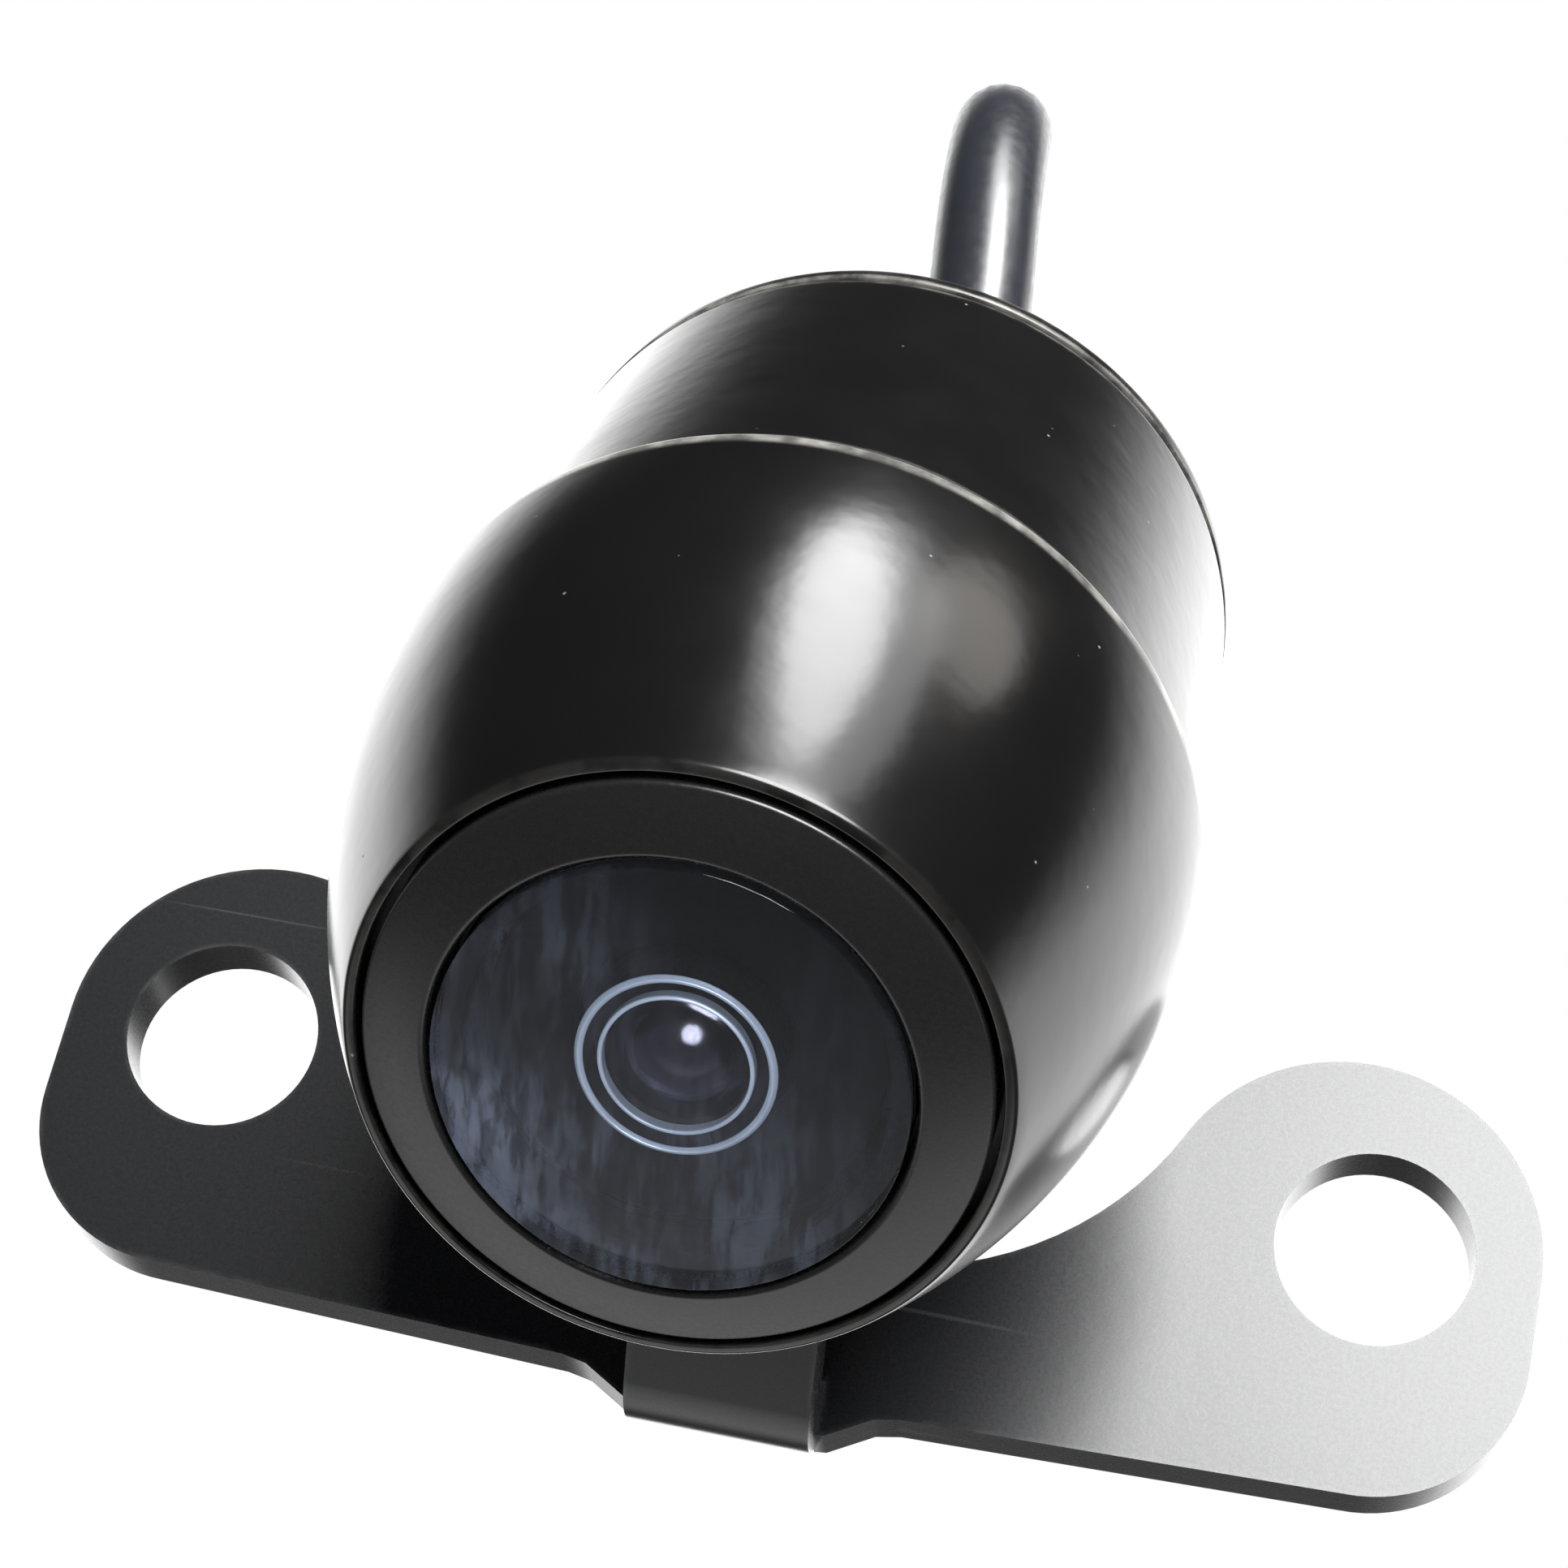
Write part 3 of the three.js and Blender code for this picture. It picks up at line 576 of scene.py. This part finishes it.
def add_strap(bm):
    """The closed loop of strap round the turns, with rounded bends."""
    steps = 6
    corners = (
        (TIE_OUTER, TIE_HALF),
        (TIE_INNER, TIE_HALF),
        (TIE_INNER, -TIE_HALF),
        (TIE_OUTER, -TIE_HALF),
    )
    section = (
        (-1, TIE_CORNER),
        (1, TIE_CORNER),
        (1, TIE_CORNER + TIE_THICKNESS),
        (-1, TIE_CORNER + TIE_THICKNESS),
    )
    rings = []
    for index, (x, z) in enumerate(corners):
        centre = Vector((
            x + (-TIE_CORNER if x == TIE_OUTER else TIE_CORNER),
            z + (-TIE_CORNER if z > 0 else TIE_CORNER),
        ))
        for step in range(steps + 1):
            angle = math.pi / 2 * (index + step / steps)
            out = Vector((math.cos(angle), math.sin(angle)))
            ring = []
            for side, reach in section:
                spot = centre + out * reach
                ring.append(bm.verts.new(Vector((spot.x, side * TIE_WIDTH / 2, spot.y)) * MM))
            rings.append(ring)
    for i, ring in enumerate(rings):
        after = rings[(i + 1) % len(rings)]
        for j in range(4):
            k = (j + 1) % 4
            bm.faces.new((ring[j], ring[k], after[k], after[j]))


def add_block(bm, size, middle):
    """A block of this size, in mm, about its middle."""
    corners = bmesh.ops.create_cube(bm, size=MM)["verts"]
    bmesh.ops.scale(bm, verts=corners, vec=size)
    bmesh.ops.translate(bm, verts=corners, vec=Vector(middle) * MM)


def add_ties():
    """Two nylon ties round the turns, each a rounded loop of strap with a head and a cut end."""
    made = []
    for number, degrees in enumerate((-110, 20), 1):
        bm = bmesh.new()
        add_strap(bm)
        add_block(bm, (1.9, TIE_WIDTH + 1.2, 4), (TIE_OUTER + TIE_THICKNESS / 2 + 0.7, 0, 0))
        add_block(bm, (0.8, TIE_WIDTH - 0.3, 3.4), (TIE_OUTER + TIE_THICKNESS + 0.75, 0, 3))
        bmesh.ops.recalc_face_normals(bm, faces=bm.faces)
        name = f"nylon_tie_{number}"
        mesh = bpy.data.meshes.new(name)
        bm.to_mesh(mesh)
        bm.free()
        turned = coil_frame @ Matrix.Rotation(math.radians(degrees), 4, "Z")
        tie = new_piece(name, mesh, LOOKS["black_plastic"], f"coil_tie_{number}", turned)
        edges = tie.modifiers.new("edges", "BEVEL")
        edges.width = 0.15 * MM
        edges.segments = 3
        edges.limit_method = "ANGLE"
        soften(tie)
        made.append(tie)
    return made


def add_connector():
    """The four-pin plug, moulded on the cable's end: its own +Z runs down, out of the plug."""
    low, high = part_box("connector_body")
    middle = (low + high) / 2
    place = Matrix.Translation((middle.x, middle.y, high.z)) @ Matrix.Rotation(math.pi, 4, "X")
    grip_radius = 4.2
    grip_end = 13
    first_groove = 6.4
    groove_pitch = 1.5
    groove_floor = 3.85
    grooves = []
    for i in range(4):
        start = first_groove + groove_pitch * i
        grooves += [
            (grip_radius, start, 0.1),
            (groove_floor, start + 0.2, 0.1),
            (groove_floor, start + 0.6, 0.1),
            (grip_radius, start + 0.8, 0.1),
        ]
    body = [
        (0, 0),
        (2.4, 0, 0.3),
        (2.7, 1, 0.5),
        (3.2, 4.5, 0.6),
        (grip_radius, 5.5, 0.4),
        *grooves,
        (grip_radius, grip_end, 0.35),
        (0, grip_end),
    ]
    made = [lathe("plug_grip", body, LOOKS["connector_rubber"], "connector_body", False, 96, place)]
    start = grip_end + GAP
    end = start + 7.2
    shell = [(3.1, start), (3.7, start, 0.1), (3.7, end, 0.25), (3.1, end, 0.15)]
    made.append(lathe("plug_shell", shell, LOOKS["black_plastic"], "connector_shell", True, 96, place))
    seal = [(4, start, 0.1), (4.3, start, 0.15), (4.3, start + 1.2, 0.15), (4, start + 1.2, 0.1)]
    made.append(lathe("plug_seal", seal, LOOKS["black_rubber"], "connector_seal", True, 96, place))
    return made


# ---------- shells ----------
def add_shells():
    """The dome, the seal in the seam, the barrel behind it and its cap."""
    spigot_radius = BARREL_BORE + 0.8
    socket = spigot_radius + GAP
    lip_bore = BEZEL_RADIUS + 0.22
    ball = bulge((BALL_RADIUS, BALL_BACK + 0.2), (LIP_RADIUS, LIP_FRONT), BALL_CURVE, 36)
    front = [
        (socket, BALL_BACK, 0.12),
        (BALL_RADIUS + 0.01, BALL_BACK, 0.2),
        *ball[1:-2],
        (LIP_RADIUS, LIP_FRONT, 0.3),
        (lip_bore, LIP_FRONT, 0.06),
        (lip_bore, LEDGE),
        (5.6, LEDGE),
        (5.6, 9.8),
        (8.4, 9.2),
        (9.6, 3),
        (socket, 3),
    ]
    lathe("front_dome", front, LOOKS["shell_paint"], "front_shell", True, 224)
    seal_radius = 11.7
    seal_back = BALL_BACK - 0.9
    seal = [
        (socket + 0.1, seal_back),
        (seal_radius, seal_back, 0.2),
        (seal_radius, BALL_BACK - GAP, 0.2),
        (socket + 0.1, BALL_BACK - GAP),
    ]
    lathe("seam_seal", seal, LOOKS["black_rubber"], "shell_seal")

    barrel_front = seal_back - GAP
    spigot_front = 2.7
    barrel = [
        (BARREL_BORE, BARREL_END),
        (BARREL_END_RADIUS, BARREL_END, 0.15),
        (11.4, barrel_front, 0.12),
        (spigot_radius, barrel_front),
        (spigot_radius, spigot_front),
        (BARREL_BORE, spigot_front),
    ]
    body = lathe("rear_body", barrel, LOOKS["shell_paint"], "rear_barrel", True, 192)
    add_boss(body)

    cap_front = BARREL_END - GAP
    cap_bore = 2.6
    skirt = BARREL_BORE - GAP
    skirt_front = cap_front + 1.6
    cap = [
        (cap_bore, CAP_HUB, 0.1),
        (6, CAP_HUB, 0.2),
        (6.6, CAP_BACK, 0.2),
        (10.8, CAP_BACK, 0.15),
        (BARREL_END_RADIUS, CAP_BACK + 0.35, 0.1),
        (BARREL_END_RADIUS, cap_front, 0.1),
        (skirt, cap_front),
        (skirt, skirt_front),
        (skirt - 1, skirt_front),
        (skirt - 1, cap_front),
        (cap_bore, cap_front),
    ]
    lathe("back_cap", cap, LOOKS["shell_paint"], "rear_cap", True, 192)


def add_boss(body):
    """Joins the round boss for the pivot screw to the barrel, and bores it."""
    tools = []
    for name, radius, inner, outer, edge, operation in (
        ("boss", 3.4, -9.9, GAP - 13, 0.25, "UNION"),
        ("boss_bore", 1.5, -10.3, -14, 0.01, "DIFFERENCE"),
    ):
        profile = [(0, outer), (radius, outer, edge), (radius, inner), (0, inner)]
        mesh = revolve(name, profile, False, 72)
        tool = bpy.data.objects.new(name, mesh)
        bpy.context.collection.objects.link(tool)
        turned = Matrix.Translation((0, 0, -PIVOT_BACK * MM)) @ Matrix.Rotation(-math.pi / 2, 4, "X")
        tool.matrix_world = camera_frame @ turned
        join = body.modifiers.new(name, "BOOLEAN")
        join.operation = operation
        join.object = tool
        join.solver = "EXACT"
        tools.append(tool)
    bake_modifiers(body)
    for tool in tools:
        bpy.data.objects.remove(tool)
    soften(body)


def bake_modifiers(obj):
    """Replaces the mesh with what its modifiers make of it."""
    for modifier in [m for m in obj.modifiers if m.type == "WEIGHTED_NORMAL"]:
        obj.modifiers.remove(modifier)
    bpy.context.view_layer.update()
    seen = obj.evaluated_get(bpy.context.evaluated_depsgraph_get())
    mesh = bpy.data.meshes.new_from_object(seen)
    obj.modifiers.clear()
    obj.data = mesh


def add_gland():
    """The rubber strain relief, with shallow rings round its taper."""
    hub = CAP_HUB - GAP
    stem = 2.3
    flange = 3.6
    flange_front = BARREL_END + 0.8
    rings = []
    count = 4
    for i in range(count):
        share = (i + 0.7) / count
        height = GLAND_END + 0.6 + share * (hub - GLAND_END - 1.4)
        radius = 2.65 + share * 0.75
        rings += [
            (radius, height, 0.08),
            (radius - 0.3, height + 0.15, 0.08),
            (radius - 0.28, height + 0.45, 0.08),
            (radius + 0.1, height + 0.6, 0.08),
        ]
    gland = [
        (0, GLAND_END),
        (stem, GLAND_END, 0.15),
        (2.6, GLAND_END + 0.3, 0.2),
        *rings,
        (3.5, hub, 0.15),
        (stem, hub),
        (stem, BARREL_END),
        (flange, BARREL_END),
        (flange, flange_front),
        (0, flange_front),
    ]
    return lathe("strain_relief", gland, LOOKS["black_rubber"], "cable_gland", False, 96)


# ---------- window and lens ----------
def add_optics():
    """The bezel, the window and the lens behind it. Returns the pieces of the lens."""
    socket = WINDOW_RADIUS + GAP
    inner = socket - 0.14
    bezel = [
        (inner, LEDGE + GAP),
        (BEZEL_RADIUS, LEDGE + GAP),
        (BEZEL_RADIUS, LIP_FRONT + 0.05, 0.16),
        (inner, WINDOW_FRONT - 0.03, 0.14),
    ]
    lathe("bezel_ring", bezel, LOOKS["bezel_plastic"], "front_bezel", True, 192)

    back = WINDOW_FRONT - WINDOW_THICKNESS
    glass = [
        (0, back),
        (WINDOW_RADIUS, back, 0.05),
        (WINDOW_RADIUS, WINDOW_FRONT, 0.05),
        (0, WINDOW_FRONT),
    ]
    lathe("cover_glass", glass, LOOKS["window_glass"], "window_glass", False, 192)

    hole = LENS_RADIUS + GAP
    shield_radius = 5.3
    shield = [
        (hole, LEDGE - 0.3),
        (shield_radius, LEDGE - 0.3),
        (shield_radius, LEDGE + 0.4, 0.1),
        (hole, LEDGE + 0.4, 0.1),
    ]
    lathe("dark_shield", shield, LOOKS["black_plastic"], "light_shield")

    front = back - GAP
    seat = front - 1.2
    thread_radius = 3.6
    thread_back = 3.2
    thread_front = 8.6
    light_path = 1.6
    mouth = LENS_RADIUS - 0.23
    barrel = [
        (light_path, thread_back),
        (thread_radius, thread_back),
        (thread_radius, thread_front),
        (LENS_RADIUS, thread_front),
        (LENS_RADIUS, front - 0.12, 0.06),
        (LENS_RADIUS - 0.12, front, 0.06),
        (mouth, front - 0.1, 0.05),
        (mouth, seat),
        (light_path, seat),
    ]
    tube = lathe("lens_tube", barrel, LOOKS["black_plastic"], "lens_barrel", True, 128)
    tube.data.materials.append(LOOKS["lens_metal"])
    for face in tube.data.polygons:
        if face.center.z > (front - 0.16) * MM:
            face.material_index = 1
    reach = LENS_RADIUS - 0.6
    bore = 1.92
    rim = [
        (bore, front - 0.4),
        (reach, front - 0.4),
        (reach, front - 0.1, 0.05),
        (bore, front - 0.06, 0.05),
    ]
    ring = lathe("lens_rim", rim, LOOKS["lens_metal"], "lens_retaining_ring", True, 128)
    glass_radius = 1.9
    dome = [
        (0, seat + 0.2),
        (glass_radius, seat + 0.2),
        (glass_radius, front - 0.7),
        *bulge((1.5, front - 0.6), (0, front - 0.1), 2.5, 16)[:-1],
        (0, front - 0.1),
    ]
    glass = lathe("lens_dome", dome, LOOKS["lens_glass"], "lens_front_element", False, 96)
    return [tube, ring, glass]


# ---------- CAD nodes that stay ----------
def smooth_by_angle():
    """A modifier's node group that smooths every edge under 30 degrees."""
    found = bpy.data.node_groups.get("smooth_by_angle")
    if found is not None:
        return found
    group = bpy.data.node_groups.new("smooth_by_angle", "GeometryNodeTree")
    group.interface.new_socket("Geometry", in_out="INPUT", socket_type="NodeSocketGeometry")
    group.interface.new_socket("Geometry", in_out="OUTPUT", socket_type="NodeSocketGeometry")
    start = group.nodes.new("NodeGroupInput")
    end = group.nodes.new("NodeGroupOutput")
    faces = group.nodes.new("GeometryNodeSetShadeSmooth")
    faces.domain = "FACE"
    edges = group.nodes.new("GeometryNodeSetShadeSmooth")
    edges.domain = "EDGE"
    angle = group.nodes.new("GeometryNodeInputMeshEdgeAngle")
    within = group.nodes.new("FunctionNodeCompare")
    within.data_type = "FLOAT"
    within.operation = "LESS_THAN"
    within.inputs["B"].default_value = math.radians(30)
    group.links.new(angle.outputs["Unsigned Angle"], within.inputs["A"])
    group.links.new(start.outputs[0], faces.inputs["Geometry"])
    group.links.new(faces.outputs[0], edges.inputs["Geometry"])
    group.links.new(within.outputs["Result"], edges.inputs["Shade Smooth"])
    group.links.new(edges.outputs[0], end.inputs[0])
    return group


def finish_nodes():
    """Gives every CAD node its finish, and breaks the edges of those that show."""
    for name, obj in frame["nodes"].items():
        obj.material_slots[0].material = LOOKS[SLOT_OF[name]]
    edge_mm = {"bracket": 0.3, "pivot_screw": 0.12, "flat_washer": 0.06, "spring_washer": 0.06}
    for name, width in edge_mm.items():
        obj = frame["nodes"][name]
        imported_normals = obj.data.attributes.get("custom_normal")
        if imported_normals is not None:
            obj.data.attributes.remove(imported_normals)
        obj.modifiers.new("joined", "WELD").merge_threshold = 0.001 * MM
        flat = obj.modifiers.new("flat", "DECIMATE")
        flat.decimate_type = "DISSOLVE"
        flat.angle_limit = math.radians(0.5)
        edges = obj.modifiers.new("edges", "BEVEL")
        edges.width = width * MM
        edges.segments = 3
        edges.limit_method = "ANGLE"
        edges.angle_limit = math.radians(40)
        smooth = obj.modifiers.new("smooth", "NODES")
        smooth.node_group = smooth_by_angle()
        obj.modifiers.new("normals", "WEIGHTED_NORMAL").keep_sharp = True


# ---------- stage ----------
def add_floor():
    """A pale round floor, in metres, a little below the object, which hangs on its bracket."""
    radius = 3
    below = 0.04
    bm = bmesh.new()
    bmesh.ops.create_circle(bm, cap_ends=True, radius=radius, segments=64)
    mesh = bpy.data.meshes.new("floor")
    bm.to_mesh(mesh)
    bm.free()
    floor = bpy.data.objects.new("floor", mesh)
    bpy.context.collection.objects.link(floor)
    floor.location.z = cad_box[0].z - below
    pale = Look("pale_floor")
    pale.join(
        pale.blend(pale.noise(0.02, 3), (0.78, 0.78, 0.78), (0.82, 0.82, 0.815)),
        pale.surface.inputs["Base Color"],
    )
    pale.set(Roughness=0.9)
    mesh.materials.append(pale.material)
    floor.visible_glossy = False
    floor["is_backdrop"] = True
    return floor


def add_world():
    """A bright backdrop low behind the object that fades out overhead and in front,
    and a plain white for what the camera sees past the object."""
    world = bpy.data.worlds.new("studio")
    bpy.context.scene.world = world
    bpy.context.scene.view_settings.view_transform = "Standard"
    world.use_nodes = True
    sky = Nodes(world.node_tree)
    sky.tree.nodes.clear()
    direction = sky.node("ShaderNodeTexCoord")
    parts = sky.node("ShaderNodeSeparateXYZ")
    sky.join(direction.outputs["Generated"], parts.inputs["Vector"])
    height = parts.outputs["Z"]
    overhead = sky.math("MULTIPLY", sky.math("MAXIMUM", height, 0), -0.8)
    behind = sky.math("ADD", parts.outputs["Y"], overhead)
    backdrop = sky.ranged(behind, -0.26, 0.26, 0.012, 3.3)
    horizon = sky.ranged(height, -0.16, 0.02, 0.04, 1)
    ground = sky.ranged(height, -0.75, -0.5, 0.42, 0)
    share = sky.math("ADD", horizon, ground)
    surround = sky.node("ShaderNodeBackground")
    sky.join(sky.math("MULTIPLY", backdrop, share), surround.inputs["Strength"])
    seen = sky.node("ShaderNodeBackground")
    seen.inputs["Color"].default_value = (1, 1, 1, 1)
    path = sky.node("ShaderNodeLightPath")
    mix = sky.node("ShaderNodeMixShader")
    sky.join(path.outputs["Is Camera Ray"], mix.inputs["Fac"])
    sky.join(surround.outputs["Background"], mix.inputs[1])
    sky.join(seen.outputs["Background"], mix.inputs[2])
    output = sky.node("ShaderNodeOutputWorld")
    sky.join(mix.outputs["Shader"], output.inputs["Surface"])


def add_light(name, azimuth, elevation, distance, size, brightness, target, colour=(1, 1, 1), only=None):
    """A soft box in a direction from the target, as wide and high as size, in metres and degrees.
    Azimuth 0 is straight in front of the bracket and 90 is on its +X side. It lights the pieces
    given as only, or else the whole object and never the floor."""
    data = bpy.data.lights.new(name, "AREA")
    data.shape = "ELLIPSE"
    data.size, data.size_y = size
    data.energy = brightness * math.pi * (math.pi / 4) * size[0] * size[1]
    data.color = colour
    light = bpy.data.objects.new(name, data)
    bpy.context.collection.objects.link(light)
    light.visible_camera = False
    a, e = math.radians(azimuth), math.radians(elevation)
    back = Vector((math.sin(a) * math.cos(e), -math.cos(a) * math.cos(e), math.sin(e)))
    light.location = target + back * distance
    light.rotation_euler = back.to_track_quat("Z", "Y").to_euler()
    lit = bpy.data.collections.new(f"lit_by_{name}")
    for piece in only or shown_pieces():
        lit.objects.link(piece)
    light.light_linking.receiver_collection = lit


def add_lights(cable, lens, floor):
    """Soft boxes above and in front, and small ones that light only the cable or the lens."""
    dome = camera_frame @ Vector((0, 8 * MM, 6 * MM))
    ears = Vector((0.012, -0.002, 0))
    window = camera_frame @ Vector((0, 0, WINDOW_FRONT * MM))
    cable_top = Vector((0, 0, 0.035))
    add_light("key", 20, 64, 0.35, (0.12, 0.24), 12.5, dome)
    add_light("key_spill", 26, 60, 0.35, (0.22, 0.32), 3.7, dome)
    add_light("second", 78, 60, 0.35, (0.11, 0.13), 3, dome, (1, 0.95, 0.9))
    add_light("front", 13, 20, 0.4, (0.24, 0.24), 22, ears)
    add_light("streak", 28, 42, 0.35, (0.12, 0.16), 80, cable_top, only=[cable])
    add_light("fill", 8, -42, 0.06, (0.025, 0.025), 28, window, (1, 0.95, 0.97), only=lens)
    add_light("floor", 0, 90, 3, (6, 6), 1.1, ears, only=[floor])


add_camera()
finish_nodes()
cord_pieces = [add_gland(), *add_ties(), *add_connector()]
cord_pieces += ["connector_insert", *(f"connector_pin_{i}" for i in range(1, 5))]
cable = add_cable()
add_shells()
lens = add_optics()
floor = add_floor()
add_world()
add_lights(cable, lens, floor)
